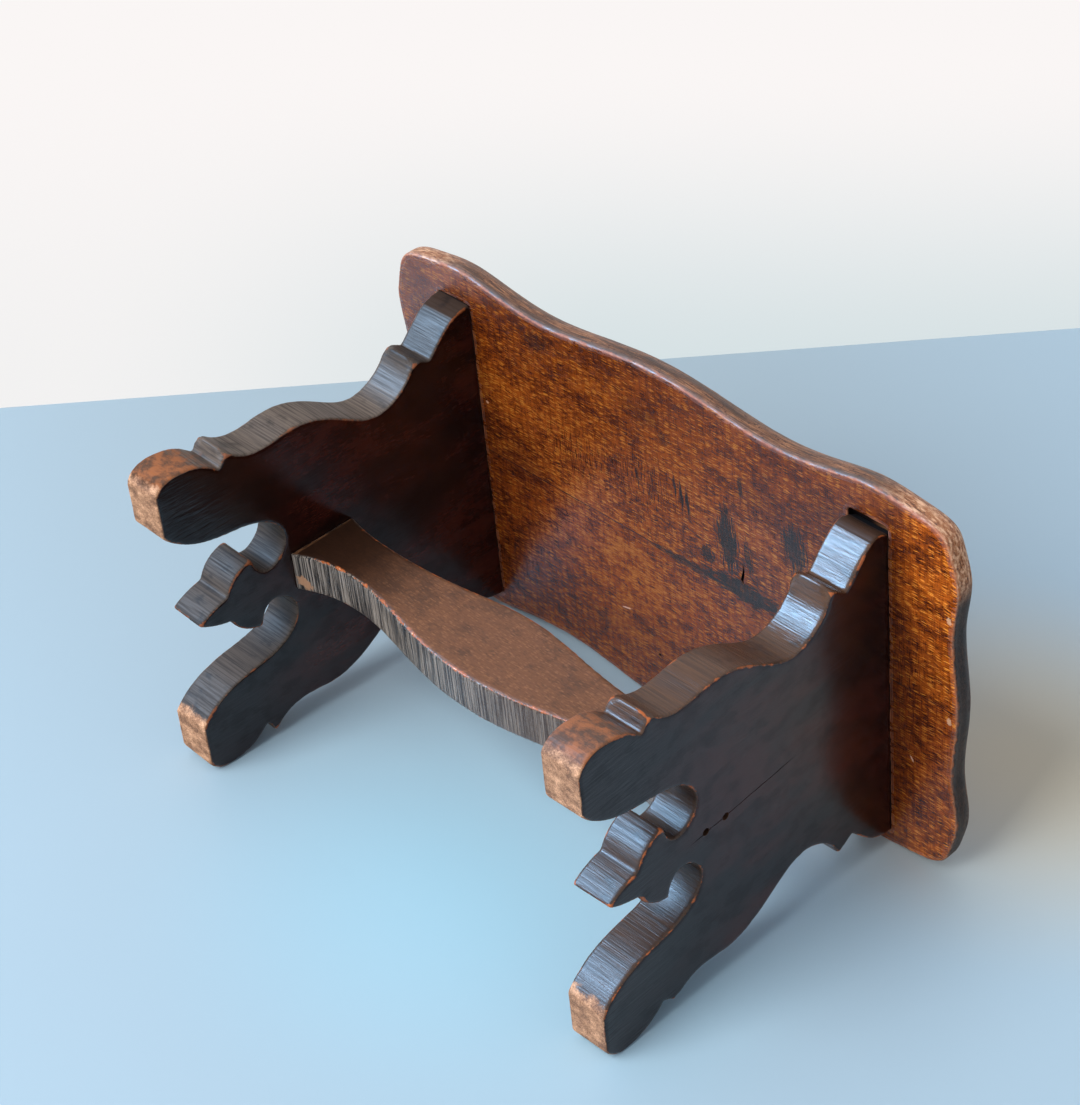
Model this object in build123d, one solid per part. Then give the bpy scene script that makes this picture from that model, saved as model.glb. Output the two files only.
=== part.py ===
from build123d import *
import os
from math import radians, tan

# A small footstool: a wavy-edged seat of two glued boards, two fret-cut slab legs that splay a little,
# and a serpentine stretcher nailed between them. All lengths are in millimetres and all angles in degrees.
# +X runs along the seat, +Y across it and +Z up. The origin is on the floor, under the middle of the seat.
# The legs and the stretcher were fitted by eye, so together they stand a little off that middle.

# Seat
overall_height = 172.0
seat_length = 306.0
seat_width = 175.5
seat_thickness = 11.0
seat_top_round = 5.0        # rounding of the top edge
seat_under_round = 1.0      # rounding of the edge below

# Legs
leg_thickness = 19.0
leg_width = 153.0           # at the seat, where a leg is widest
leg_inset = 30.5            # from the seat's end in to a leg's outer face, just under the seat
legs_off_middle_x = -3.0    # from the middle of the seat to the middle of the legs
legs_off_middle_y = 4.4
leg_splay = 1.4
leg_tip_round = 0.9         # worn points of the outline
leg_notch_round = 0.8       # sawn inner corners of the outline
leg_arris_round = 0.9       # edges of the two faces
housing_depth = 4.0         # how far a leg goes up into the seat
housing_clearance = 0.1     # glue gap round a leg in its housing

# Stretcher, a board on edge between the legs
stretcher_thickness = 19.0
stretcher_depth = 68.8      # from the seat down to the top of the middle
stretcher_height = 40.4     # at the middle
stretcher_arris_round = 1.2

# Nails
nail_diameter = 2.0
nail_head_diameter = 3.0
nail_head_height = 1.2
nail_point_length = 3.0
nail_point_share = 0.25     # of the shank's diameter, left at the point's tip
nail_clearance = 0.02       # round a nail's shank in the wood
nail_head_clearance = 0.12  # round a nail's head in its punched hole
seat_nail_length = 38.0
seat_nail_punch = 2.0       # how far the heads lie below the seat's top
seat_nail_spacing = 50.0
stopping_clearance = 0.02
stretcher_nail_length = 38.0
stretcher_nail_punch = 2.5
stretcher_nail_depth = 92.6     # from the seat down to the upper nail
stretcher_nail_spacing = 10.6
stretcher_nail_slope = 12.0     # driven upwards, so that the lower one keeps inside the board
overrun = 2.0               # how far a cutting tool passes the face that it cuts

# Seat outline, a quarter of it, as shares of half the length and half the width
seat_edge_shares = (
    (0.0, 1.0),
    (0.215, 0.966),
    (0.426, 0.933),
    (0.595, 0.967),
    (0.722, 0.999),
    (0.860, 0.975),
    (0.956, 0.915),
    (0.982, 0.810),
    (0.999, 0.685),
    (0.986, 0.453),
    (0.991, 0.210),
    (1.0, 0.0),
)

# Leg outline from the seat down one edge and up to the middle, as shares of half the leg's width
# and of the height from the floor to the seat, measured down from the seat. The feet reach below
# the floor by a little, and are cut level there.
shoulder_shares = ((1.0, 0.0), (0.945, 0.075), (0.800, 0.144))
cove_and_swell_shares = (
    (0.860, 0.196),
    (0.706, 0.250),
    (0.655, 0.323),
    (0.760, 0.437),
    (0.871, 0.582),
    (0.855, 0.671),
    (0.965, 0.788),
)
foot_shares = ((0.870, 0.810), (0.979, 0.907), (0.800, 1.012))
arch_shares = (
    (0.684, 1.012),
    (0.580, 0.969),
    (0.484, 0.873),
    (0.447, 0.770),
    (0.366, 0.689),
    (0.229, 0.6615),
    (0.108, 0.711),
    (0.225, 0.770),
)
pendant_side_shares = ((0.225, 0.770), (0.182, 0.8235), (0.081, 0.859))
pendant_tip_shares = ((0.081, 0.859), (0.0536, 0.906), (0.0, 0.955))

# Stretcher outline from its middle to one end: shares of half the leg spacing along it, and shares
# of the height at the middle, measured down from the top of the middle
stretcher_top_shares = ((0.0, 0.0), (0.330, 0.099), (0.660, 0.178), (1.0, 0.092))
stretcher_bottom_shares = ((0.0, 1.0), (0.320, 0.906), (0.600, 0.752), (1.0, 0.911))

underside = overall_height - seat_thickness
leg_top = underside + housing_depth
leg_spacing = seat_length - 2 * (leg_inset + leg_thickness)     # between the legs, just under the seat
middle_of_legs = Pos(legs_off_middle_x, legs_off_middle_y, 0)

SIDES = ("left", "right")
SEAT_NAIL_PLACES = {"front": -seat_nail_spacing, "middle": 0, "back": seat_nail_spacing}
STRETCHER_NAIL_PLACES = {"upper": 0, "lower": stretcher_nail_spacing}


def mirrored_points(points, across):
    """The points, seen in the mirror plane whose normal is across, in reverse order."""
    return [point - across * (2 * point.dot(across)) for point in reversed(points)]


def corner_at(face, point):
    return face.vertices().sort_by_distance(point)[0]


def above(shape, height):
    return split(shape, bisect_by=Plane.XY.offset(height), keep=Keep.TOP)


def below(shape, height):
    return split(shape, bisect_by=Plane.XY.offset(height), keep=Keep.BOTTOM)


def nail(length):
    """A nail with its head's top at the origin, pointing down."""
    radius = nail_diameter / 2
    shank_length = length - nail_head_height - nail_point_length
    head = Cylinder(nail_head_diameter / 2, nail_head_height, align=(Align.CENTER, Align.CENTER, Align.MAX))
    shank = Cylinder(radius, shank_length, align=(Align.CENTER, Align.CENTER, Align.MAX))
    point = Cone(radius, radius * nail_point_share, nail_point_length,
                 align=(Align.CENTER, Align.CENTER, Align.MIN))
    point = Pos(0, 0, nail_point_length - length) * Rot(180, 0, 0) * point
    return head + Pos(0, 0, -nail_head_height) * shank + point


def nail_hole(length, punch):
    """The hole of a nail whose head lies punch deep, out past the surface."""
    shank = Cylinder(nail_diameter / 2 + nail_clearance, length, align=(Align.CENTER, Align.CENTER, Align.MAX))
    mouth_height = nail_head_height + punch + overrun
    mouth = Cylinder(nail_head_diameter / 2 + nail_head_clearance, mouth_height,
                     align=(Align.CENTER, Align.CENTER, Align.MIN))
    return shank + Pos(0, 0, -nail_head_height) * mouth


def leg_place(side):
    """Where a leg's own frame stands: its origin on the inner face, just under the seat, +X outwards."""
    turn = Rot(0, 0, 0 if side == "right" else 180)
    return middle_of_legs * turn * Pos(leg_spacing / 2, 0, underside) * Rot(0, -leg_splay, 0)


def leg_point(share):
    """A point of the leg's outline, in the leg's own frame."""
    return Vector(0, share[0] * leg_width / 2, -share[1] * underside)


def leg_half_outline():
    """Edges of the outline, from the housing to the pendant's tip, and its worn and its sawn corners."""
    shoulder, cove, foot, arch, pendant, tip = (
        [leg_point(share) for share in shares]
        for shares in (shoulder_shares, cove_and_swell_shares, foot_shares, arch_shares,
                       pendant_side_shares, pendant_tip_shares)
    )
    top = shoulder[0] + Vector(0, 0, 2 * housing_depth)
    down = Vector(0, 0, -1)
    inwards = Vector(0, -1, 0)
    edges = [
        Line(top, shoulder[0]),
        Spline(*shoulder, tangents=(down, shoulder[-1] - shoulder[-2])),
        Line(shoulder[-1], cove[0]),
        Spline(*cove),
        Line(cove[-1], foot[0]),
        Spline(*foot, tangents=(down - inwards, inwards)),
        Line(foot[-1], arch[0]),
        Spline(*arch),
        ThreePointArc(*pendant),
        ThreePointArc(*tip),
    ]
    worn = [cove[0], cove[-1], arch[0], arch[-1], tip[-1]]
    sawn = [shoulder[-1], foot[0], pendant[-1]]
    return edges, worn, sawn


def leg(side):
    """A slab leg in its place, with level ends, rounded edges and the holes of its nails."""
    half, worn, sawn = leg_half_outline()
    across = Vector(0, 1, 0)
    top = half[0] @ 0
    mirrored = [mirror(edge, about=Plane.XZ) for edge in half]
    closing = Line(top, mirrored_points([top], across)[0])
    face = make_face([line.edge() for line in half + mirrored + [closing]]).face()
    for points, radius in ((worn, leg_tip_round), (sawn, leg_notch_round)):
        both = points + [point for point in mirrored_points(points, across) if point not in points]
        face = face.fillet_2d(radius, [corner_at(face, point) for point in both])
    slab = extrude(face, leg_thickness, dir=(1, 0, 0))
    faces = slab.faces().filter_by(Axis.X).sort_by(SortBy.AREA)[-2:]
    edges = [edge for big in faces for edge in big.outer_wire().edges().sort_by(Axis.Z)[:-1]]
    board = leg_place(side) * slab.fillet(leg_arris_round, edges)
    board = below(above(board, 0), leg_top)
    for cut in seat_nail_holes(side) + stretcher_nail_holes(side):
        board = board - cut
    return board


def seat_nail_places(side):
    """Where the heads' tops of the nails through the seat lie, named from front to back."""
    across = leg_spacing / 2 + leg_thickness / 2
    x = across if side == "right" else -across
    top = overall_height - seat_nail_punch
    return {name: middle_of_legs * Pos(x, y, top) for name, y in SEAT_NAIL_PLACES.items()}


def seat_nail_holes(side):
    return [place * nail_hole(seat_nail_length, seat_nail_punch) for place in seat_nail_places(side).values()]


def stretcher_nail_places(side):
    """Where the heads' tops of the nails through a leg lie, with the nails pointing inwards and up."""
    places = {}
    for name, lower in STRETCHER_NAIL_PLACES.items():
        entry = Pos(leg_thickness, 0, -stretcher_nail_depth - lower) * Rot(0, 90 + stretcher_nail_slope, 0)
        places[name] = leg_place(side) * entry * Pos(0, 0, -stretcher_nail_punch)
    return places


def stretcher_nail_holes(side):
    hole = nail_hole(stretcher_nail_length, stretcher_nail_punch)
    return [place * hole for place in stretcher_nail_places(side).values()]


def housing(side):
    """The shallow recess in the seat that takes the top of a leg."""
    room = Box(leg_thickness + 2 * housing_clearance, leg_width + 2 * housing_clearance, 2 * leg_top)
    return below(leg_place(side) * Pos(leg_thickness / 2, 0, 0) * room, leg_top)


def seat_outline():
    quarter = [Vector(along * seat_length / 2, out * seat_width / 2) for along, out in seat_edge_shares]
    half = quarter + mirrored_points(quarter, Vector(0, 1, 0))[1:]
    ring = half + mirrored_points(half, Vector(1, 0, 0))[1:-1]
    return make_face(Spline(*ring, periodic=True).edge())


def seat_boards():
    """The seat with rounded edges, its housings and nail holes, cut along the glue line in its middle."""
    seat = Pos(0, 0, underside) * extrude(seat_outline(), seat_thickness)
    seat = fillet(seat.faces().sort_by(Axis.Z)[-1].edges(), seat_top_round)
    seat = fillet(seat.faces().sort_by(Axis.Z)[0].edges(), seat_under_round)
    for side in SIDES:
        seat = seat - housing(side)
        for hole in seat_nail_holes(side):
            seat = seat - hole
    return {
        "seat_board_front": split(seat, bisect_by=Plane.XZ, keep=Keep.TOP),
        "seat_board_back": split(seat, bisect_by=Plane.XZ, keep=Keep.BOTTOM),
    }


def stretcher_end(depth):
    """How far from the middle a leg's inner face is, at a depth below the seat."""
    return leg_spacing / 2 + depth * tan(radians(leg_splay))


def stretcher_edge(shares):
    """The points of the upper or lower edge, from one leg to the other."""
    points = []
    for along, lower in shares:
        depth = stretcher_depth + lower * stretcher_height
        points.append(Vector(along * stretcher_end(depth), 0, underside - depth))
    return mirrored_points(points, Vector(1, 0, 0)) + points[1:]


def stretcher():
    upper = stretcher_edge(stretcher_top_shares)
    lower = stretcher_edge(stretcher_bottom_shares)
    edges = [Spline(*upper), Line(upper[-1], lower[-1]), Spline(*lower), Line(lower[0], upper[0])]
    face = make_face([line.edge() for line in edges])
    board = extrude(face, stretcher_thickness / 2, dir=(0, 1, 0), both=True)
    long_edges = [edge for edge in board.edges() if edge.length > leg_spacing / 2]
    board = middle_of_legs * fillet(long_edges, stretcher_arris_round)
    for side in SIDES:
        for hole in stretcher_nail_holes(side):
            board = board - hole
    return board


def stopping():
    """The filling over a nail in the seat, its underside at the origin."""
    radius = nail_head_diameter / 2 + nail_head_clearance - stopping_clearance
    return Cylinder(radius, seat_nail_punch, align=(Align.CENTER, Align.CENTER, Align.MIN))


def all_nodes():
    nodes = seat_boards()
    nodes["stretcher"] = stretcher()
    for side in SIDES:
        nodes[f"leg_{side}"] = leg(side)
        for name, place in seat_nail_places(side).items():
            nodes[f"seat_nail_{side}_{name}"] = place * nail(seat_nail_length)
            nodes[f"seat_stopping_{side}_{name}"] = place * stopping()
        for name, place in stretcher_nail_places(side).items():
            nodes[f"stretcher_nail_{side}_{name}"] = place * nail(stretcher_nail_length)
    return nodes


os.makedirs("parts", exist_ok=True)
for node, shape in all_nodes().items():
    shape.label = node
    export_step(shape, f"parts/{node}.step")
    print(node, round(shape.volume, 1))
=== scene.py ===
from functools import cache
from itertools import product
from math import radians

import bmesh
import bpy
import numpy as np
from mathutils import Euler, Matrix, Vector


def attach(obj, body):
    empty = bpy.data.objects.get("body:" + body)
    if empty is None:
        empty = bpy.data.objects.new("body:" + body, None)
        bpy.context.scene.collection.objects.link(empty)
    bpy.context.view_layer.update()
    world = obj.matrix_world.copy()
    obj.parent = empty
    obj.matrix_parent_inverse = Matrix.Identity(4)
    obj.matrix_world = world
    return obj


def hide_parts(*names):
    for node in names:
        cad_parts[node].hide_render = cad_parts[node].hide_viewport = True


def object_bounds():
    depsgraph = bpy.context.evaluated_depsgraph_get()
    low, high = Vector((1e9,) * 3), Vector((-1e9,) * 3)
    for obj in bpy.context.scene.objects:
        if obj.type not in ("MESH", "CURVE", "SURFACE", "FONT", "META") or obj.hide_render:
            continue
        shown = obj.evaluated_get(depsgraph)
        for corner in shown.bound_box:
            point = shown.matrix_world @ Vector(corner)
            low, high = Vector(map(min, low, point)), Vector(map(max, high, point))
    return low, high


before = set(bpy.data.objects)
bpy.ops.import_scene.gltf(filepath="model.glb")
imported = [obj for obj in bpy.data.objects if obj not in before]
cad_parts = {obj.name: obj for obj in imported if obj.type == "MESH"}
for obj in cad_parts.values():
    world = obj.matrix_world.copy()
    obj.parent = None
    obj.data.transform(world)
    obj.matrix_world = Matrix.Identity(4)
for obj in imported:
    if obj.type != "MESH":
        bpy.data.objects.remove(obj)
cad_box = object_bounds()

bl_info = {
    "name": "Fret-cut footstool",
    "version": (1, 0, 0),
    "blender": (4, 5, 0),
    "location": "3D View > Sidebar > Footstool",
    "description": "Dresses the packed footstool with worn boards, old stain and a plain table",
    "category": "Object",
}

MM = 0.001
PHOTO_WIDTH = 1080
PHOTO_HEIGHT = 1105
CAMERA_PLACE = (0.6608, -0.7233, -0.4529)
CAMERA_TURN = (radians(136.2236), radians(-46.2033), radians(6.9628))
WINDOW_WAY = (-0.15, -0.72, -0.68)
SKY_WAY = (-0.60, -0.65, -0.46)
ARRIS = "arris"
SIDES = ("left", "right")
PLACES = ("front", "middle", "back")
LEVELS = ("upper", "lower")


def tone(red, green, blue):
    """The linear colour of three 0 to 255 screen values."""
    return tuple(((value / 255 + 0.055) / 1.055) ** 2.4 for value in (red, green, blue))


def colour_prop(name, description, *screen):
    return bpy.props.FloatVectorProperty(
        name=name, description=description, default=tone(*screen), subtype="COLOR", min=0, max=1, size=3)


def vector_prop(name, description, default, subtype):
    return bpy.props.FloatVectorProperty(
        name=name, description=description, default=default, subtype=subtype, precision=4)


def number_prop(name, description, default, **kind):
    return bpy.props.FloatProperty(name=name, description=description, default=default, **kind)


def length_prop(name, description, metres):
    return number_prop(name, description, metres, unit="LENGTH", min=0, precision=5)


def power_prop(name, description, power):
    return number_prop(name, description, power, min=0)


class FootstoolWear(bpy.types.PropertyGroup):
    """How far use has rounded and dented the boards."""

    voxel: length_prop("Mesh step", "Size of the faces that carry the wear", 0.75 * MM)
    arris_reach: length_prop("Arris reach", "How far from an edge the wear shows", 2.2 * MM)
    rounding: number_prop("Rounding", "How much of the sharp edges has gone", 0.75, min=0, max=1)
    unevenness: length_prop("Unevenness", "How far the planed faces wander", 0.09 * MM)
    mouth_radius: length_prop("Nail hole radius", "Of the punched holes over the nails", 1.66 * MM)
    mouth_reach: length_prop("Nail hole reach", "How far a hole's cutter passes the wood", 6.0 * MM)
    crack_depth: length_prop("Crack depth", "Depth of the crack in the seat's underside", 2.5 * MM)
    hole_radius: length_prop("Worm hole radius", "Of the small hole in the seat's underside", 0.7 * MM)
    hole_depth: length_prop("Worm hole depth", "Of the small hole in the seat's underside", 2.0 * MM)


class FootstoolFinish(bpy.types.PropertyGroup):
    """Colours of the stained beech and of what is on it."""

    # Also paints the shade and the shadows of the legs on the seat's underside
    seat_deep_and_shade: colour_prop("Seat deep", "Darkest stain on the seat", 58, 20, 5)
    seat_mid: colour_prop("Seat middle", "Middle of the seat's stain", 152, 72, 15)
    seat_warm: colour_prop("Seat warm", "Warm places of the seat", 206, 106, 28)
    seat_fleck: colour_prop("Seat fleck", "Bright flecks of the seat", 252, 166, 62)
    leg_deep: colour_prop("Leg deep", "Darkest stain on the legs", 17, 3, 3)
    leg_warm: colour_prop("Leg warm", "Reddish stain on the legs", 58, 20, 14)
    cut_deep: colour_prop("Sawn edge dark", "Dirt in the saw marks", 30, 24, 21)
    cut_pale: colour_prop("Sawn edge", "Sawn edges between the marks", 90, 64, 48)
    edge_deep: colour_prop("Seat edge dark", "Dirt on the seat's edge", 56, 40, 30)
    edge_pale: colour_prop("Seat edge", "Rubbed streaks of the seat's edge", 166, 118, 84)
    stretcher_mid: colour_prop("Stretcher", "Faces of the stretcher", 112, 72, 46)
    stretcher_pale: colour_prop("Stretcher pale", "Dusty flecks of the stretcher", 168, 116, 80)
    stretcher_deep: colour_prop("Stretcher dark", "Dirt on the stretcher", 32, 18, 12)
    # A pale grey that is painted sheen on the stretcher's sawn ridges
    sawn_silver_sheen: colour_prop("Sawn ridges", "Polished ridges between saw marks", 156, 148, 142)
    sawn_grey: colour_prop("Sawn hollows", "Dusty hollows between saw marks", 112, 104, 97)
    rubbed: colour_prop("Rubbed foot", "Brown of the rubbed front feet", 158, 98, 60)
    bare_orange: colour_prop("Worn stain", "Where the stain is rubbed thin", 172, 94, 48)
    # Also paints the thin highlight line on the arrises of the seat and the stretcher
    bare_pale_and_highlight: colour_prop("Bare wood", "Where the wood is bare", 222, 178, 146)
    sole: colour_prop("Sole", "Bare end grain under the feet", 180, 138, 108)
    sole_dirt: colour_prop("Sole, dirty", "Dirt on the end grain", 114, 82, 63)
    # Also paints shade inside the housings, the crack and the hole, and on the legs' tops inside the
    # housings
    grime_and_hollow_shade: colour_prop("Grime", "Old grime", 22, 19, 22)
    steel: colour_prop("Nail", "Dull steel of the nails", 96, 78, 66)
    wax: colour_prop("Stopping", "Filling over the seat's nails", 44, 24, 15)


class FootstoolStage(bpy.types.PropertyGroup):
    """The camera, the table, the floor and the light."""

    camera_place: vector_prop("Camera place", "Where the camera stands", CAMERA_PLACE, "TRANSLATION")
    camera_turn: vector_prop("Camera turn", "Which way the camera looks", CAMERA_TURN, "EULER")
    lens: number_prop("Lens", "Focal length in millimetres", 95.43, min=1)
    edge_left: number_prop("Table edge, left", "Pixels down to it, at the left", 408, subtype="PIXEL")
    edge_right: number_prop("Table edge, right", "Pixels down to it, at the right", 328, subtype="PIXEL")
    table_reach: length_prop("Table reach", "How far the table runs on", 3.0)
    floor_reach: length_prop("Floor reach", "Half the floor's width", 4.0)
    table_colour: colour_prop("Table", "Painted table", 170, 198, 220)
    # Painted light on the table: the stool's warm bounce, the sky's light and the shade away from the
    # window
    table_warm_bounce: colour_prop("Table, warm side", "Table that the stool's glow warms", 208, 202, 184)
    table_sky_lit: colour_prop("Table, cool side", "Table that the sky lights", 168, 214, 240)
    table_far_shade: colour_prop("Table, far side", "Table away from the window", 158, 179, 194)
    floor_colour: colour_prop("Floor", "Plain floor for the upright views", 226, 228, 230)
    wall_light: colour_prop("Wall, lit", "Wall where it is brightest", 250, 246, 245)
    wall_shade: colour_prop("Wall, shaded", "Wall where it is greyest", 212, 224, 227)
    ambient_colour: colour_prop("Room light", "Light from all round", 246, 250, 255)
    ambient_power: power_prop("Room light power", "Strength of the light from all round", 0.5)
    window_colour: colour_prop("Window light", "Cool light of the window", 255, 252, 246)
    window_power: power_prop("Window power", "In watts", 248.0)
    window_size: length_prop("Window size", "Side of the window", 3.2)
    window_distance: length_prop("Window distance", "From the stool", 4.5)
    window_way: vector_prop("Window way", "From the stool to the window", WINDOW_WAY, "DIRECTION")
    sky_colour: colour_prop("Sky", "Colour of the window in reflections", 158, 212, 255)
    sky_power: power_prop("Sky power", "In watts, for the window's reflections", 640.0)
    sky_size: length_prop("Sky size", "Side of the mirrored window", 2.5)
    sky_way: vector_prop("Sky way", "From the stool to the mirrored window", SKY_WAY, "DIRECTION")


# Small shader nodes

def sum_method(operation):
    """A method of Value that places the node of one sum."""
    def method(self, *others):
        place_node = self.sheet.vector if self.socket.type == "VECTOR" else self.sheet.math
        return place_node(operation, self, *others)
    return method


class Value:
    """A number, a vector or a colour that a shader node gives. Sums with it place more nodes."""

    __add__ = __radd__ = sum_method("ADD")
    __sub__ = sum_method("SUBTRACT")
    __mul__ = __rmul__ = sum_method("MULTIPLY")
    __truediv__ = sum_method("DIVIDE")
    __abs__ = sum_method("ABSOLUTE")
    most = sum_method("MAXIMUM")
    length = sum_method("LENGTH")

    def __init__(self, sheet, socket):
        self.sheet = sheet
        self.socket = socket

    def __rsub__(self, other):
        return self.sheet.math("SUBTRACT", other, self)

    def parts(self):
        """A vector's X, Y and Z."""
        node = self.sheet.add("ShaderNodeSeparateXYZ", (self,))
        return [Value(self.sheet, socket) for socket in node.outputs]

    def rise(self, low, high, to_low, to_high):
        """A smooth step from to_low to to_high, while this number goes from low to high."""
        inputs = {"Value": self, "From Min": low, "From Max": high, "To Min": to_low, "To Max": to_high}
        return self.sheet.give("ShaderNodeMapRange", inputs, "Result", interpolation_type="SMOOTHSTEP")

    def mask(self, *ranges):
        """1 where this number is past one or two ranges, each as (where it is 0, where it is 1)."""
        steps = [self.rise(none, full, 0.0, 1.0) for none, full in ranges]
        return steps[0] if len(steps) == 1 else steps[0] * steps[1]

    def choose(self, off, on):
        """A number that goes smoothly from off to on, while this mask goes from 0 to 1."""
        return self.rise(0.0, 1.0, off, on)

    def noise(self, size, detail=2.0, roughness=0.5, distortion=0.0):
        """Smooth noise over this place, in lumps of that size: a number, or a vector for the three axes."""
        if isinstance(size, float):
            size = (size, size, size)
        inputs = {"Vector": self / size, "Scale": 1.0, "Detail": detail, "Roughness": roughness,
                  "Distortion": distortion}
        return self.sheet.give("ShaderNodeTexNoise", inputs, "Fac")

    def ramp(self, *stops):
        """The colour that this number picks between stops, each as (number, colour)."""
        node = self.sheet.add("ShaderNodeValToRGB", (self,))
        elements = node.color_ramp.elements
        while len(elements) < len(stops):
            elements.new(0.5)
        for element, (position, colour) in zip(elements, stops):
            element.position = position
            element.color = (*colour, 1.0)
        return Value(self.sheet, node.outputs["Color"])

    def coat(self, mask, colour, way="MIX"):
        """This colour with another one over it where the mask is 1."""
        return self.sheet.blend(mask, self, colour, way)


class Sheet:
    """Places shader nodes in one tree and joins them."""

    def __init__(self, tree):
        self.tree = tree
        tree.nodes.clear()

    def feed(self, socket, source):
        """Joins a value to a socket, or sets a plain number, vector or colour on it."""
        if isinstance(source, Value):
            self.tree.links.new(source.socket, socket)
        else:
            socket.default_value = (*source, 1.0) if socket.type == "RGBA" else source

    def add(self, kind, inputs=(), **settings):
        """A new node with those settings, its inputs fed in order or by name."""
        node = self.tree.nodes.new(kind)
        for name, setting in settings.items():
            setattr(node, name, setting)
        for key, source in inputs.items() if isinstance(inputs, dict) else enumerate(inputs):
            self.feed(node.inputs[key], source)
        return node

    def give(self, kind, inputs=(), output=0, **settings):
        """What one output of a new node gives."""
        return Value(self, self.add(kind, inputs, **settings).outputs[output])

    def outputs(self, kind, **settings):
        """What a new node gives, by name."""
        return {socket.name: Value(self, socket) for socket in self.add(kind, **settings).outputs}

    def math(self, operation, *values):
        return self.give("ShaderNodeMath", values, operation=operation)

    def vector(self, operation, *values):
        output = "Value" if operation in ("LENGTH", "DOT_PRODUCT") else "Vector"
        return self.give("ShaderNodeVectorMath", values, output, operation=operation)

    def whole(self, *values):
        """A vector from its X, Y and Z."""
        return self.give("ShaderNodeCombineXYZ", values)

    def blend(self, factor, first, second, way="MIX"):
        inputs = {"Factor": factor, 6: first, 7: second}
        return self.give("ShaderNodeMix", inputs, 2, data_type="RGBA", blend_type=way)

    def group(self, tree, **values):
        """What a shared group gives, by name, with its inputs named in lower case."""
        inputs = {name.replace("_", " ").title(): value for name, value in values.items()}
        node = self.add("ShaderNodeGroup", inputs, node_tree=tree)
        return {socket.name: Value(self, socket) for socket in node.outputs}


def new_group(name, inputs, outputs):
    """(sheet, its inputs by name) of a node group. An input without a default is a place."""
    tree = bpy.data.node_groups.new(name, "ShaderNodeTree")
    for label, default in inputs.items():
        kind = "NodeSocketFloat" if isinstance(default, float) else "NodeSocketVector"
        socket = tree.interface.new_socket(label, in_out="INPUT", socket_type=kind)
        if default is not None:
            socket.default_value = default
    for label in outputs:
        tree.interface.new_socket(label, in_out="OUTPUT", socket_type="NodeSocketFloat")
    sheet = Sheet(tree)
    return sheet, sheet.outputs("NodeGroupInput")


def closed_group(sheet, results):
    """The tree of a node group, with its outputs fed by name."""
    sheet.add("NodeGroupOutput", results)
    return sheet.tree


@cache
def board_grain_group():
    """Patterns of stained beech. Place is in millimetres, with X along the grain."""
    sheet, given = new_group("Board grain", {"Place": None, "Fleck Length": 3.7, "Fleck Width": 0.44},
                             ("Tone", "Mottle", "Fleck", "Pore", "Fibre", "Hatch"))
    place, width = given["Place"], given["Fleck Width"]
    bend = place.noise(5.0, 1.0)
    bent = place + sheet.whole(0.0, bend * 1.6, 0.0)
    cell_inputs = {"Vector": bent / sheet.whole(given["Fleck Length"], width, width), "Scale": 1.0}
    cells = sheet.add("ShaderNodeTexVoronoi", cell_inputs, feature="F1")
    chance, _, _ = Value(sheet, cells.outputs["Color"]).parts()
    body = Value(sheet, cells.outputs["Distance"]).mask((0.62, 0.28))
    other_place = bent + (411.0, 87.0, 29.0)
    return closed_group(sheet, {
        "Tone": place.noise((60.0, 22.0, 22.0), 3.0, 0.55).mask((0.36, 0.64)),
        "Mottle": place.noise((11.0, 7.5, 7.5), 6.0, 0.66).mask((0.45, 0.64)),
        "Fleck": body * chance.mask((0.3, 0.95)),
        "Pore": other_place.noise((3.6, 0.36, 0.36), 2.0, 0.55, 0.3).mask((0.5, 0.66)),
        "Fibre": place.noise((34.0, 0.7, 0.7), 4.0, 0.6),
        "Hatch": place.noise((0.42, 7.0, 7.0), 2.0, 0.55, 0.15).mask((0.5, 0.62)),
    })


@cache
def arris_wear_group():
    """Where rubbing has bared an edge, and a thin line right on the edge, which the materials paint pale,
    partly as bare wood and partly as a painted highlight. Edge is the mesh's own measure of how sharp a
    place is.
    """
    sheet, given = new_group("Arris wear", {"Edge": 0.0, "Place": None, "Amount": 0.5, "Break Size": 3.0},
                             ("Worn", "Line"))
    size = given["Break Size"]
    breaks = given["Place"].noise(sheet.whole(size, size, size), 5.0, 0.68)
    spread = (breaks - 0.5) * 1.5 + given["Edge"]
    start = 1.0 - given["Amount"]
    tight = start + 0.3
    return closed_group(sheet, {"Worn": spread.mask((start, start + 0.22)),
                                "Line": spread.mask((tight, tight + 0.14))})


@cache
def saw_marks_group():
    """Strokes of the saw across a cut edge. Place is in millimetres, with X along the strokes."""
    sheet, given = new_group("Saw marks", {"Place": None, "Pitch": 1.0}, ("Tone", "Height"))
    place, pitch = given["Place"], given["Pitch"]
    wide = place.noise(sheet.whole(pitch * 60.0, pitch, pitch), 3.0, 0.6)
    fine_pitch = pitch * 0.28
    fine = place.noise(sheet.whole(pitch * 16.0, fine_pitch, fine_pitch), 2.0, 0.5)
    both = fine * 0.4 + wide * 0.6
    return closed_group(sheet, {"Tone": both.mask((0.4, 0.62)), "Height": both})


@cache
def local_mark_group():
    """A ragged patch at one place of a board, in millimetres."""
    sheet, given = new_group(
        "Local mark",
        {"Place": None, "Centre": None, "Half Size": (5.0, 5.0, 50.0), "Turn": 0.0, "Ragged": 0.5,
         "Tear": (2.0, 2.0, 2.0), "Soft": 0.3},
        ("Mask",))
    turn_inputs = {"Vector": given["Place"] - given["Centre"], "Angle": given["Turn"]}
    turned = sheet.give("ShaderNodeVectorRotate", turn_inputs, rotation_type="Z_AXIS")
    ragged = (turned.noise(given["Tear"], 3.0, 0.6) - 0.5) * (given["Ragged"] * 3.0)
    level = (turned / given["Half Size"]).length() + ragged
    return closed_group(sheet, {"Mask": level.mask((1.0, 1.0 - given["Soft"]))})


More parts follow.
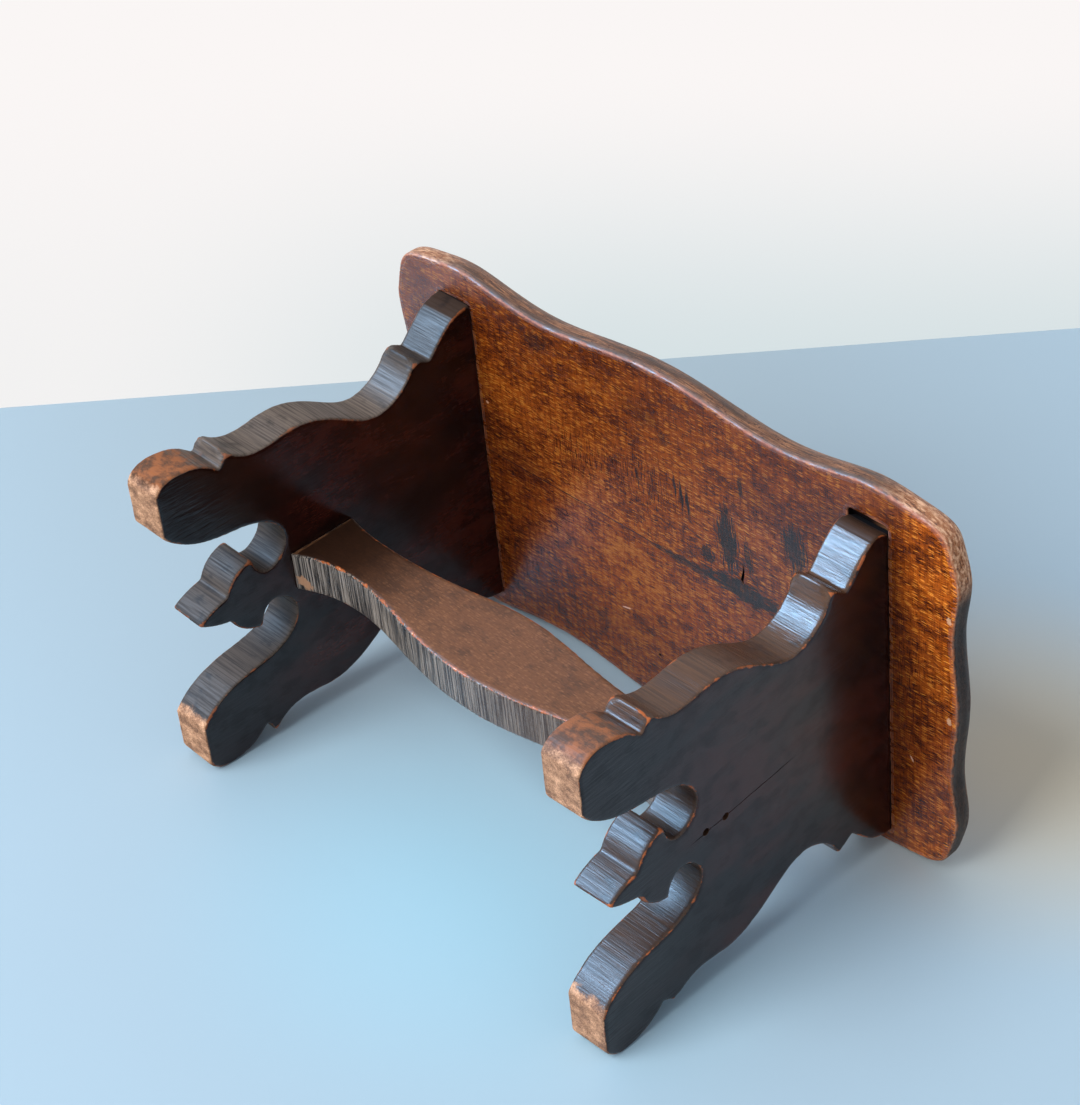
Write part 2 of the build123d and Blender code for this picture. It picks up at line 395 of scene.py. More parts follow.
class Board(Sheet):
    """The nodes of one material, with the place in millimetres, the normal, the edge and the shader."""

    def __init__(self, name):
        self.material = bpy.data.materials.new(name)
        self.material.use_nodes = True
        super().__init__(self.material.node_tree)
        self.shader = self.add("ShaderNodeBsdfPrincipled")
        self.paint = Value(self, self.shader.outputs[0])
        self.end = self.add("ShaderNodeOutputMaterial", {"Surface": self.paint})
        coordinates = self.outputs("ShaderNodeTexCoord")
        self.place = self.give("ShaderNodeVectorMath", {"Vector": coordinates["Object"], "Scale": 1 / MM},
                               operation="SCALE")
        self.normal = coordinates["Normal"]
        self.edge = self.give("ShaderNodeAttribute", output="Fac", attribute_name=ARRIS)

    def mark(self, centre, half_size, turn=0.0, ragged=0.5, tear=(2.0, 2.0), soft=0.3):
        """A ragged patch at one place seen along Z, with all sizes across and along in millimetres."""
        return self.group(local_mark_group(), place=self.place * (1.0, 1.0, 0.0), centre=(*centre, 0.0),
                          half_size=(*half_size, 1.0), turn=turn, ragged=ragged, tear=(*tear, 1.0),
                          soft=soft)["Mask"]

    def dressed(self, height, depth, inputs):
        """The material, with its shader's inputs fed and a bump of that depth in millimetres."""
        bump_inputs = {"Strength": 1.0, "Distance": depth * MM, "Height": height}
        bump = self.give("ShaderNodeBump", bump_inputs, "Normal")
        for name, source in (*inputs.items(), ("Normal", bump)):
            self.feed(self.shader.inputs[name], source)
        return self.material


# The legs, in millimetres: middle, inner face at the underside, thickness and lean per millimetre down
LEGS_MIDDLE = -3.0
LEG_INNER = 103.5
LEG_THICKNESS = 19.0
LEG_SPLAY = 0.0244
# A leg's two sharp tips as (along, height), and the way their corners are worn back
TIP_CORNERS = (((-61.4, 129.4), (0.0, 2.0, 0.6)), ((-69.4, 34.1), (0.0, 2.0, 0.4)))
TIP_REACH = 5.5
# Places of the right leg that differ from the left: (along, height), radius, move
RIGHT_LEG_PLACES = (
    ((-61.4, 129.4), (30.0, 9.0, 9.0), (0.0, -2.4, -0.5)),
    ((78.2, 34.1), (40.0, 9.0, 9.0), (0.0, -4.2, 1.4)),
    ((-73.0, 167.0), (60.0, 24.0, 13.0), (0.0, 5.4, 0.0)),
)

# Where the seat's underside is marked, in millimetres from its middle
SEAT_STAINS = (
    # centre, half size, turn in degrees, raggedness, size of its tears, darkness
    ((37.2, -24.0), (6.6, 17.5), 2.0, 0.8, (0.9, 9.0), 0.95),
    ((25.5, -11.0), (4.4, 4.6), 0.0, 0.7, (1.6, 3.0), 0.85),
    ((48.0, -20.0), (2.6, 10.0), 5.0, 0.9, (0.9, 8.0), 0.75),
    ((73.5, -37.0), (7.2, 13.0), 5.0, 0.9, (0.9, 9.0), 0.9),
    ((46.0, -1.4), (26.0, 6.0), 1.0, 0.8, (7.0, 1.6), 0.92),
    ((14.0, 0.4), (24.0, 2.4), 0.0, 0.9, (6.0, 1.0), 0.75),
    ((-67.0, -72.0), (9.0, 5.0), 20.0, 0.9, (3.0, 1.6), 0.6),
    ((45.3, -54.0), (1.8, 6.0), 0.0, 0.7, (0.8, 5.0), 0.8),
    ((9.0, -36.5), (0.9, 6.5), 4.0, 0.8, (0.6, 5.0), 0.85),
    ((12.5, -33.0), (1.1, 8.0), 4.0, 0.8, (0.6, 5.0), 0.95),
    ((15.8, -31.0), (1.2, 7.5), 4.0, 0.8, (0.6, 5.0), 0.95),
    ((-12.0, -31.0), (0.8, 6.0), 2.0, 0.9, (0.6, 5.0), 0.6),
    ((-4.0, -34.0), (0.7, 5.0), 2.0, 0.9, (0.6, 5.0), 0.6),
    ((4.0, -57.0), (3.6, 3.6), 0.0, 0.9, (1.4, 1.4), 0.5),
    ((7.0, 62.0), (6.0, 5.0), 0.0, 0.9, (2.0, 2.0), 0.5),
    ((-40.0, 58.0), (5.0, 3.4), 0.0, 0.9, (2.0, 2.0), 0.5),
)
# Soft dark places on the underside, among them painted shade beside the left leg and the painted shadow of
# the right leg over the seat's right end: centre, half size, darkness
SEAT_SHADE_AND_DARK_PLACES = (
    ((-6.0, -64.0), (18.0, 8.0), 0.55),
    # Painted shade beside the left leg
    ((-80.0, -4.0), (24.0, 22.0), 0.45),
    ((60.0, -50.0), (26.0, 14.0), 0.35),
    ((96.0, -62.0), (24.0, 16.0), 0.5),
    ((-112.0, -62.0), (16.0, 30.0), 0.5),
    ((-138.0, -66.0), (22.0, 28.0), 0.5),
    # Painted shadow of the right leg over the seat's right end
    ((131.0, 10.0), (30.0, 110.0), 0.42),
)
# A lighter place of the underside: centre, half size
SEAT_LIGHTER_PATCH = ((-20.0, 20.0), (80.0, 64.0))
# Fine dark lines across the grain: centre and half size of their clusters, and darkness
SEAT_SCRATCHES = (
    ((-10.0, -31.0), (32.0, 18.0), 1.0),
    ((13.0, -32.0), (7.0, 9.0), 1.0),
    ((-48.0, -25.0), (24.0, 18.0), 0.9),
    ((40.0, -44.0), (4.0, 8.0), 0.8),
    ((-8.0, -6.0), (14.0, 7.0), 0.6),
    ((128.0, -5.0), (14.0, 40.0), 0.6),
)
# Places where the stain is chipped off: centre, half size, turn in degrees
SEAT_CHIPS = (
    ((-25.0, 44.7), (3.2, 0.5), 16.0),
    ((-101.4, -26.0), (0.9, 0.7), 0.0),
    ((148.8, -44.0), (1.3, 1.8), 0.0),
    ((149.2, 5.0), (1.3, 1.8), 0.0),
    ((131.0, 35.0), (0.5, 1.6), 30.0),
)
# An open crack beside the glue line: place across, place along, width
SEAT_CRACK = (
    (44.8, -15.4, 0.2), (45.0, -12.5, 0.9), (44.5, -9.5, 1.4), (43.8, -7.0, 1.5), (44.6, -5.0, 0.3))
SEAT_HOLE = (-6.9, 60.6)
UNDERSIDE = 161.0
# The seat's two boards: name, side of the glue line, place of its grain in the log, redness
SEAT_BOARDS = (("front", -1, (0.0, 0.0, 0.0), 0.0), ("back", 1, (310.0, 90.0, 5.0), 0.25))
# How light each pattern of the grain makes the seat's stain, from a level of its own
SEAT_LEVEL = 0.42
SEAT_GRAIN = {"Fleck": 0.6, "Pore": -0.36, "Hatch": -0.14, "Mottle": -0.28, "Tone": 0.14}

# How deep the relief of each surface is, in millimetres
RELIEF = {"seat": 0.07, "leg": 0.16, "stretcher": 0.14, "nail": 0.06, "stopping": 0.1}

# Soft limits of a place, in millimetres, or of a part of the normal: (where it is 0, where it is 1)
FACES_DOWN = (-0.62, -0.93)
FACES_UP = (0.62, 0.93)
FACES_OUT = (0.75, 0.97)
# Where painted shade lies on the seat's underside beside the left and the right leg
SHADE_BESIDE_LEFT_LEG = (-92.0, -104.0)
SHADE_BESIDE_RIGHT_LEG = (136.0, 121.0)
GLUE_LINE = (0.5, 0.1)
FRONT_CORNERS = {"out": (108.0, 130.0), "along": (-50.0, -64.0)}
FACES_SIDEWAYS = ((-0.95, -0.7), (0.97, 0.8))
# The housings, out from the legs' middle, and the crack and the hole, out from the seat's middle
HOUSING = {"out": ((99.0, 100.5), (127.0, 125.5)), "along": ((-75.0, -73.6), (83.0, 81.6)),
           "height": ((161.2, 161.9), (166.5, 166.0))}
HOLLOWS = {"out": (64.0, 62.0), "along": (68.0, 66.0), "height": ((161.2, 161.5), (165.0, 164.5))}


def seat_material(name, offset, finish, redness):
    """Stained beech of one seat board: flecked face, browner edge, bare corners and a worn arris."""
    board = Board(name)
    grain_place = board.place + offset
    grain = board.group(board_grain_group(), place=grain_place)
    across, along, height = board.place.parts()
    normal_x, _, normal_z = board.normal.parts()
    under = normal_z.mask(FACES_DOWN)
    # Flecks, pores, fine lines across and clouds of stain together choose the colour
    # The underside is lighter in one wide place
    thin = board.mark(*SEAT_LIGHTER_PATCH, 0.0, 0.5, (9.0, 7.0), 0.95)
    level = sum((grain[pattern] * weight for pattern, weight in SEAT_GRAIN.items()), SEAT_LEVEL)
    level = level + thin * 0.2
    colour = level.ramp((0.0, finish.seat_deep_and_shade), (0.36, finish.seat_mid), (0.6, finish.seat_warm),
                        (0.85, finish.seat_fleck))
    colour = colour.coat(redness, finish.seat_mid, "MULTIPLY")
    # Painted shade on the underside beside the legs
    painted_shade_beside_legs = across.mask(SHADE_BESIDE_LEFT_LEG).most(across.mask(SHADE_BESIDE_RIGHT_LEG))
    colour = colour.coat(painted_shade_beside_legs * under * 0.6, finish.seat_deep_and_shade)
    for centre, half_size, darkness in SEAT_SHADE_AND_DARK_PLACES:
        shade = board.mark(centre, half_size, 0.0, 0.5, (7.0, 5.0), 0.9)
        colour = colour.coat(shade * under * darkness, finish.seat_deep_and_shade)
    for centre, half_size, darkness in SEAT_SCRATCHES:
        cluster = board.mark(centre, half_size, 0.0, 0.5, (3.0, 3.0), 0.8)
        colour = colour.coat(cluster * grain["Hatch"] * under * darkness, finish.seat_deep_and_shade)
    for centre, half_size, turn, ragged, tear, darkness in SEAT_STAINS:
        stain = board.mark(centre, half_size, radians(turn), ragged, tear, 0.4)
        colour = colour.coat(stain * under * (darkness - grain["Hatch"] * 0.25), finish.grime_and_hollow_shade)
    colour = colour.coat(abs(along).mask(GLUE_LINE) * under * 0.75, finish.grime_and_hollow_shade)
    for centre, half_size, turn in SEAT_CHIPS:
        chip = board.mark(centre, half_size, radians(turn), 0.7, (0.7, 0.7))
        colour = colour.coat(chip * 0.8, finish.bare_pale_and_highlight)
    # The edge has streaks along it and dark ends, and the top is darker than the underside
    streaks = grain_place.noise((9.0, 2.0, 0.55), 5.0, 0.65)
    specks = board.place.noise((1.6, 1.0, 0.8), 2.0, 0.6)
    clouds = grain_place.noise((34.0, 12.0, 5.0), 4.0, 0.6)
    edge = streaks.ramp((0.36, finish.edge_deep), (0.5, finish.stretcher_mid), (0.66, finish.edge_pale))
    edge = edge.coat(specks.mask((0.58, 0.68)), finish.seat_deep_and_shade)
    edge = edge.coat(clouds.mask((0.46, 0.64)) * 0.8, finish.edge_deep)
    end = abs(normal_x).mask(FACES_OUT)
    corner = abs(across).mask(FRONT_CORNERS["out"]) * along.mask(FRONT_CORNERS["along"])
    edge = edge.coat(end * (0.85 - corner * 0.8), finish.grime_and_hollow_shade)
    top = colour.coat(0.35, finish.seat_deep_and_shade)
    colour = edge.coat(under, colour).coat(normal_z.mask(FACES_UP), top)
    # Bare wood on the two front corners, then on the arris, where a thin pale line is partly bare wood and
    # partly a painted highlight
    patches = grain_place.noise((4.0, 2.4, 1.1), 5.0, 0.68)
    bare = patches.ramp((0.4, finish.bare_orange), (0.5, finish.edge_pale), (0.62, finish.bare_pale_and_highlight))
    colour = colour.coat(corner * normal_z.mask(*FACES_SIDEWAYS) * patches.mask((0.36, 0.5)), bare)
    wear = board.group(arris_wear_group(), edge=board.edge, place=board.place, amount=0.2)
    breaks = grain_place.noise((7.0, 3.0, 3.0), 4.0, 0.65)
    bared = wear["Worn"] * breaks.rise(0.44, 0.6, 0.1, 0.65)
    colour = colour.coat(bared, finish.bare_orange).coat(bared * wear["Line"] * 0.25, finish.bare_pale_and_highlight)
    # The housings, the crack and the hole are painted black inside as shade, but for the right housing's
    # outer wall, which goes from that painted shade to half pale wood across it
    from_legs = abs(across - LEGS_MIDDLE)
    housing = from_legs.mask(*HOUSING["out"]) * along.mask(*HOUSING["along"])
    housing = housing * height.mask(*HOUSING["height"])
    hollow = abs(across).mask(HOLLOWS["out"]) * abs(along).mask(HOLLOWS["along"])
    hollow = hollow * height.mask(*HOLLOWS["height"])
    wall = board.blend(across.rise(108.0, 117.0, 0.0, 0.5), finish.grime_and_hollow_shade, finish.edge_pale)
    colour = colour.coat(housing, wall).coat(hollow, finish.grime_and_hollow_shade)
    inside = housing.most(hollow)
    sheen = board.edge.rise(0.1, 0.45, 0.5, 1.0) * end.choose(1.0, 0.6)
    dulled = board.edge.mask((0.2, 0.5)) * breaks.mask((0.44, 0.54)) * 0.5
    roughness = grain["Fibre"] * 0.2 + 0.13 + dulled.most(under.rise(0.2, 0.0, 0.0, 0.3))
    relief = grain["Fibre"] - grain["Pore"] * 0.5 - grain["Hatch"] * 0.5
    return board.dressed(relief, RELIEF["seat"], {
        "Base Color": colour, "Roughness": inside.choose(roughness, 0.8), "IOR": 1.45,
        "Specular IOR Level": inside.choose(sheen, 0.0)})


# Soft limits on the legs and, for the square faces, on the stretcher too
FACE_SQUARE = (0.72, 0.96)
LEFT_HALF = (20.0, -20.0)
BLACK_FEET = (75.0, 20.0)
DARK_ARCH = {"along": (-50.0, -42.0), "height": (66.0, 54.0)}
DARK_CUTS = (112.0, 138.0)
DULL_CUTS = (118.0, 98.0)
SHOULDER_FACET = {"height": (152.0, 152.9), "along": (-50.0, -60.0)}
RUBBED_FOOT = {"height": (30.0, 16.0), "along": (-44.0, -54.0), "faces": (0.2, -0.3)}
BARE_SOLE = (3.4, 1.2)
RIPPLED_FEET = (50.0, 22.0)
IN_HOUSING = (160.9, 161.5)
# The right leg's crack: place along at the foot, lean per millimetre up, soft half width, limits in height
CRACK_FOOT = 7.5
CRACK_LEAN = -0.055
CRACK_WIDTH = (0.3, 0.08)
CRACK_HEIGHT = ((46.0, 56.0), (112.0, 100.0))
# The colour of the legs' shine
LEG_TINT = (0.98, 0.96, 0.98)


def leg_material(finish):
    """Near-black stained beech with the grain upright, sawn edges and bare feet."""
    board = Board("Leg, dark stained beech")
    place = board.place
    x, y, z = place.parts()
    upright = board.whole(z, y, x)
    grain = board.group(board_grain_group(), place=upright)
    saw = board.group(saw_marks_group(), place=place, pitch=1.0)
    normal_x, normal_y, _ = board.normal.parts()
    flat = abs(normal_x).mask(FACE_SQUARE)
    not_flat = 1.0 - flat
    left = x.mask(LEFT_HALF)
    # The faces are clouded, and blackest towards the feet
    face = board.blend(grain["Tone"], finish.leg_deep, finish.leg_warm)
    face = face.coat(grain["Mottle"] * 0.6, finish.leg_deep)
    face = face.coat(grain["Fleck"] * 0.04, finish.bare_orange)
    face = face.coat(z.mask(BLACK_FEET) * 0.85, finish.leg_deep)
    # The sawn edges are greyer on the left leg, and dark in the arches, at the top and in blots
    arch = y.mask(DARK_ARCH["along"]) * z.mask(DARK_ARCH["height"]) * 0.45
    high = left * z.mask(DARK_CUTS) * 0.6
    facet = z.mask(SHOULDER_FACET["height"]) * y.mask(SHOULDER_FACET["along"]) * not_flat
    blots = place.noise((14.0, 9.0, 9.0), 4.0, 0.6)
    sawn = board.blend(left * 0.7, finish.cut_pale, finish.sawn_grey)
    sawn = sawn.coat(saw["Tone"] * 0.62, finish.cut_deep).coat(arch.most(high), finish.cut_deep)
    sawn = sawn.coat(facet * 0.8, finish.edge_deep).coat(blots.mask((0.54, 0.72)) * 0.7, finish.cut_deep)
    colour = sawn.coat(flat, face)
    # A fine crack runs up the right leg through its two punched nails
    wobble = place.noise(5.0, 3.0, 0.6)
    apart = abs(y - (z * CRACK_LEAN + CRACK_FOOT) - wobble * 0.8)
    crack = apart.mask(CRACK_WIDTH) * z.mask(*CRACK_HEIGHT) * normal_x.mask((0.7, 0.9)) * (1.0 - left)
    colour = colour.coat(crack * 0.9, finish.grime_and_hollow_shade)
    wear = board.group(arris_wear_group(), edge=board.edge, place=place, amount=0.22, break_size=4.5)
    colour = colour.coat(wear["Worn"] * left.choose(1.0, 0.45), finish.bare_orange)
    # The front foot's outer side is rubbed thin, and the soles are bare
    ragged = place.noise((5.0, 4.0, 4.0), 5.0, 0.68)
    shift = ragged - 0.5
    outer = y.mask(RUBBED_FOOT["along"]) * normal_y.mask(RUBBED_FOOT["faces"]) * not_flat
    halo = (z - shift * 30.0).mask(RUBBED_FOOT["height"]) * outer
    rubbed = board.blend(ragged.mask((0.36, 0.62)), finish.cut_pale, finish.rubbed)
    bare = (z - shift * 9.0).mask(BARE_SOLE) * not_flat
    soil = place.noise((6.0, 5.0, 5.0), 5.0, 0.7) * 0.7 + place.noise(0.55, 2.0, 0.6) * 0.35
    end_grain = soil.ramp((0.4, finish.bare_pale_and_highlight), (0.49, finish.sole), (0.62, finish.sole_dirt))
    # The top inside the housing is painted dark as shade
    hidden = z.mask(IN_HOUSING)
    colour = colour.coat(halo * 0.9, rubbed).coat(bare, end_grain).coat(hidden, finish.grime_and_hollow_shade)
    # How rough and how shiny each of these is
    low = z.mask(DULL_CUTS)
    cut_rough = saw["Tone"] * 0.18 + low.choose(0.14, 0.27) + left * 0.24 + halo.most(facet) * 0.35
    face_rough = grain["Fibre"] * 0.2 + 0.12
    rough = flat.choose(board.math("MINIMUM", cut_rough, 1.0), face_rough)
    rough = hidden.choose(bare.choose(rough, 0.7), 0.8)
    cut_sheen = left.choose(0.5, 0.24) * facet.choose(1.0, 0.3) * low.choose(1.0, 0.78)
    face_sheen = z.rise(130.0, 155.0, 0.43, 0.27) * grain["Mottle"].choose(1.0, 0.78)
    saw_relief = saw["Height"] * not_flat * left.choose(1.0, 0.6)
    ripple = upright.noise((9.0, 1.3, 1.3), 2.0, 0.5) * flat * z.mask(RIPPLED_FEET)
    relief = grain["Fibre"] * 0.22 + saw_relief * 1.7 + ripple * 0.9
    return board.dressed(relief, RELIEF["leg"], {
        "Base Color": colour, "Roughness": rough, "Specular Tint": LEG_TINT,
        "Specular IOR Level": crack.rise(0.0, 0.9, flat.choose(cut_sheen, face_sheen), 0.0)})


# A bare chip under the stretcher's left end: centre and half size along and across, turn, raggedness
STRETCHER_CHIP = ((-104.8, 9.4), (2.6, 4.2), 0.6, 0.6)
# Soft limits of its underside, its dark and its worn end, its joint with the left leg and its free part
STRETCHER_UNDER = (62.0, 58.0)
STRETCHER_DARK_END = (-36.0, -90.0)
STRETCHER_WORN_END = (-40.0, 40.0)
STRETCHER_JOINT = (-106.6, -107.4)
STRETCHER_FREE = (101.0, 96.0)


def stretcher_material(finish):
    """Mid brown board with fine flecks, darker towards its left end, and strongly sawn edges."""
    board = Board("Stretcher, brown beech")
    place = board.place
    x, y, z = place.parts()
    grain = board.group(board_grain_group(), place=place, fleck_length=2.4, fleck_width=0.55)
    saw = board.group(saw_marks_group(), place=board.whole(y, x, z), pitch=0.9)
    _, normal_y, _ = board.normal.parts()
    flat = abs(normal_y).mask(FACE_SQUARE)
    not_flat = 1.0 - flat
    near_leg = x.mask(STRETCHER_DARK_END)
    dust = x.mask(STRETCHER_JOINT) * place.noise((1.5, 2.0, 4.0), 3.0, 0.6).mask((0.35, 0.6))
    face = board.blend(grain["Mottle"] * 0.4, finish.stretcher_mid, finish.stretcher_deep)
    face = face.coat(grain["Fleck"] * 0.4, finish.stretcher_pale)
    face = face.coat(grain["Pore"] * 0.35, finish.stretcher_deep)
    face = face.coat(near_leg * 0.92, finish.stretcher_deep).coat(dust * 0.38, finish.edge_pale)
    # The stretcher's sawn ridges get a pale grey of painted sheen
    sawn = saw["Tone"].ramp((0.0, finish.sawn_silver_sheen), (0.3, finish.sawn_grey), (0.75, finish.grime_and_hollow_shade))
    sawn = sawn.coat(x.mask(STRETCHER_WORN_END) * 0.5, finish.cut_pale)
    edge = board.edge * abs(x - LEGS_MIDDLE).mask(STRETCHER_FREE)
    wear = board.group(arris_wear_group(), edge=edge, place=place, amount=0.34)
    chip = board.mark(*STRETCHER_CHIP) * not_flat * z.mask(STRETCHER_UNDER)
    colour = sawn.coat(flat, face).coat(wear["Worn"], finish.bare_orange)
    # The thin pale line on the arris is partly bare wood and partly a painted highlight
    colour = colour.coat(wear["Line"], finish.bare_pale_and_highlight).coat(chip, finish.sole)
    rough = flat.choose(saw["Tone"] * 0.2 + 0.22, grain["Fibre"] * 0.25 + 0.3)
    relief = saw["Height"] * not_flat * 1.6 + grain["Fibre"]
    return board.dressed(relief, RELIEF["stretcher"], {
        "Base Color": colour, "Roughness": rough, "Specular IOR Level": near_leg.choose(0.42, 0.22)})


def nail_material(finish):
    """Dull steel, rusted in patches."""
    board = Board("Nail, dull steel")
    rust = board.place.noise(0.8, 4.0, 0.65)
    patches = rust.mask((0.42, 0.6))
    return board.dressed(rust, RELIEF["nail"], {
        "Base Color": board.blend(patches, finish.steel, finish.leg_warm), "Metallic": 1.0 - patches,
        "Roughness": rust.rise(0.3, 0.7, 0.35, 0.75)})


def stopping_material(finish):
    """Dark wax, a little uneven."""
    board = Board("Stopping, dark wax")
    uneven = board.place.noise(1.1, 3.0, 0.6)
    return board.dressed(uneven, RELIEF["stopping"], {
        "Base Color": board.blend(uneven, finish.wax, finish.seat_deep_and_shade),
        "Roughness": uneven.rise(0.3, 0.7, 0.35, 0.55)})


# Worn boards

# Large primes that scatter the corners of a grid, and how many values they give
HASH_AXES = (73856093, 19349663, 83492791)
HASH_SEED = 7919
HASH_MIXES = ((13, 1274126177), (15, 668265263))
HASH_MASK = 0x7FFFFFFF
HASH_VALUES = 65536
# Waves of smooth noise as (weight, size in millimetres): how far edges are chewed, and how faces wander
CHEW_LEVEL = 0.55
CHEW = ((0.8, 6.0), (0.4, 2.0))
WANDER = ((1.0, 34.0), (0.4, 11.0))
# Rounds of smoothing for the squared reach in mesh steps, and how many more the seat gets
ROUNDS_PER_STEP = 1.6
SEAT_SPREAD = 1.8
# How far smoothing moves a fully sharp edge, and the angle from which an edge is shaded sharp
SHARP_DEPTH = 0.5 * MM
SHARP_ANGLE = radians(55)
SEEDS = {"seat": 11, "left": 31, "right": 41, "stretcher": 61}
WELD_DISTANCE = 1e-6
HOLE_SIDES = 24


def drift(points, size, seed):
    """Smooth values from -1 to 1 that change over about size, the same in each run."""
    scaled = points / size
    cell = np.floor(scaled).astype(np.int64)
    part = scaled - cell
    part = part * part * (3 - 2 * part)
    total = np.zeros(len(points))
    for corner in product((0, 1), repeat=3):
        key = (cell + corner) @ np.array(HASH_AXES) + seed * HASH_SEED
        for shift, factor in HASH_MIXES:
            key = ((key ^ (key >> shift)) * factor) & HASH_MASK
        value = (key % HASH_VALUES) / (HASH_VALUES / 2) - 1
        total += value * np.prod(np.where(corner, part, 1 - part), axis=1)
    return total


def drifts(points, level, waves, seed):
    """That level plus the drift of some waves."""
    parts = (weight * drift(points, size * MM, seed + at) for at, (weight, size) in enumerate(waves))
    return sum(parts, level)


def rows(items, attribute, width, kind=float):
    """A table of an attribute of a mesh's vertices or edges, one row each."""
    values = np.empty(len(items) * width, kind)
    items.foreach_get(attribute, values)
    return values.reshape(-1, width)


def new_object(name, data):
    """An object in the scene."""
    thing = bpy.data.objects.new(name, data)
    bpy.context.scene.collection.objects.link(thing)
    return thing


def mesh_of(shape, name):
    """A mesh of a bmesh, which goes."""
    mesh = bpy.data.meshes.new(name)
    shape.to_mesh(mesh)
    shape.free()
    return mesh


def fill_open_edges(shape):
    edges = [edge for edge in shape.edges if len(edge.link_faces) == 1]
    bmesh.ops.holes_fill(shape, edges=edges, sides=0)


def nail_line(name):
    """(head's top, way from point to head) of a nail, from its mesh."""
    points = rows(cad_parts[name].data.vertices, "co", 3)
    middle = points.mean(0)
    way = np.linalg.svd(points - middle, full_matrices=False)[2][0]
    along = (points - middle) @ way
    across = np.linalg.norm(points - middle - along[:, None] * way, axis=1)
    if across[along > 0].max() < across[along < 0].max():
        way, along = -way, -along
    return Vector(middle + way * along.max()), Vector(way)


def near_line(point, place, way, radius):
    """Whether the point is closer than radius to the line through place."""
    apart = point - place
    return (apart - way * apart.dot(way)).length < radius


def filled_solid(nodes, nails, radius):
    """One welded mesh of some CAD nodes, with their nail holes closed."""
    shape = bmesh.new()
    for node in nodes:
        shape.from_mesh(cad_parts[node].data)
    bmesh.ops.remove_doubles(shape, verts=shape.verts, dist=WELD_DISTANCE)
    for nail in nails:
        place, way = nail_line(nail)
        inside = {vertex for vertex in shape.verts if near_line(vertex.co, place, way, radius)}
        walls = [face for face in shape.faces if all(vertex in inside for vertex in face.verts)]
        bmesh.ops.delete(shape, geom=walls, context="FACES")
    fill_open_edges(shape)
    return mesh_of(shape, "solid")


def apply_modifiers(piece):
    """Replaces a piece's mesh by what its modifiers make of it."""
    depsgraph = bpy.context.evaluated_depsgraph_get()
    mesh = bpy.data.meshes.new_from_object(piece.evaluated_get(depsgraph))
    piece.modifiers.clear()
    old = piece.data
    piece.data = mesh
    bpy.data.meshes.remove(old)


def smoothed(points, links, rounds):
    """The points after so many rounds of moving each halfway to the mean of its neighbours."""
    first, second = links[:, 0], links[:, 1]
    count = np.bincount(first, minlength=len(points)) + np.bincount(second, minlength=len(points))
    for _ in range(rounds):
        total = np.zeros_like(points)
        for axis in range(3):
            total[:, axis] = np.bincount(first, points[second, axis], len(points))
            total[:, axis] += np.bincount(second, points[first, axis], len(points))
        points = (points + total / count[:, None]) / 2
    return points


def wear_down(piece, wear, seed, nudges, spread):
    """Rounds the piece's edges unevenly, lets its faces wander, nudges whole places of it, and stores how
    sharp each place is."""
    mesh = piece.data
    points = rows(mesh.vertices, "co", 3)
    links = rows(mesh.edges, "vertices", 2, np.int32)
    normals = rows(mesh.vertex_normals, "vector", 3, np.float32)
    rounds = int((wear.arris_reach / wear.voxel) ** 2 * ROUNDS_PER_STEP * spread)
    wide = smoothed(points, links, rounds)
    sharp = -((wide - points) * normals).sum(1)
    tight = smoothed(points, links, max(1, rounds // 4))
    chew = np.clip(drifts(points, CHEW_LEVEL, CHEW, seed), 0, 1)
    moved = points + (tight - points) * (chew * wear.rounding)[:, None]
    wander = drifts(points, 0, WANDER, seed + 2)
    moved += normals * (wander * wear.unevenness)[:, None]
    for centre, radius, move in nudges:
        apart = np.linalg.norm((points - np.array(centre) * MM) / (np.array(radius) * MM), axis=1)
        held = np.clip(1 - apart, 0, 1)
        moved += (held * held * (3 - 2 * held))[:, None] * np.array(move) * MM
    mesh.vertices.foreach_set("co", moved.ravel())
    layer = mesh.attributes.new(ARRIS, "FLOAT", "POINT")
    layer.data.foreach_set("value", np.clip(sharp / SHARP_DEPTH, -1, 2).astype(np.float32))
    mesh.update()


def worn_piece(name, nodes, nails, wear, seed, nudges=(), spread=1.0):
    """A worn piece in the shape of some CAD nodes, with even faces and without its nail holes."""
    piece = new_object(name, filled_solid(nodes, nails, wear.mouth_radius))
    remesh = piece.modifiers.new("Even faces", "REMESH")
    remesh.mode = "VOXEL"
    remesh.voxel_size = wear.voxel * 1
    apply_modifiers(piece)
    wear_down(piece, wear, seed, nudges, spread)
    return piece


def cylinder_cutter(place, way, radius, reach):
    """A mesh that cuts a round hole from place outwards."""
    shape = bmesh.new()
    bmesh.ops.create_cone(shape, cap_ends=True, segments=HOLE_SIDES, radius1=radius, radius2=radius,
                          depth=reach)
    turn = Vector((0, 0, 1)).rotation_difference(way).to_matrix().to_4x4()
    bmesh.ops.transform(shape, matrix=Matrix.Translation(place + way * reach / 2) @ turn, verts=shape.verts)
    return mesh_of(shape, "cutter")


def crack_cutter(outline, depth):
    """A mesh that cuts an open crack into the seat's underside."""
    left = [(across - width / 2, along) for across, along, width in outline]
    right = [(across + width / 2, along) for across, along, width in reversed(outline)]
    ring = left + right
    count = len(ring)
    shape = bmesh.new()
    points = [shape.verts.new((across * MM, along * MM, level * MM))
              for level in (UNDERSIDE - 1, UNDERSIDE + depth) for across, along in ring]
    shape.faces.new(points[:count])
    shape.faces.new(points[:count - 1:-1])
    for first in range(count):
        after = (first + 1) % count
        shape.faces.new([points[at] for at in (after, first, first + count, after + count)])
    bmesh.ops.recalc_face_normals(shape, faces=shape.faces)
    return mesh_of(shape, "cutter")


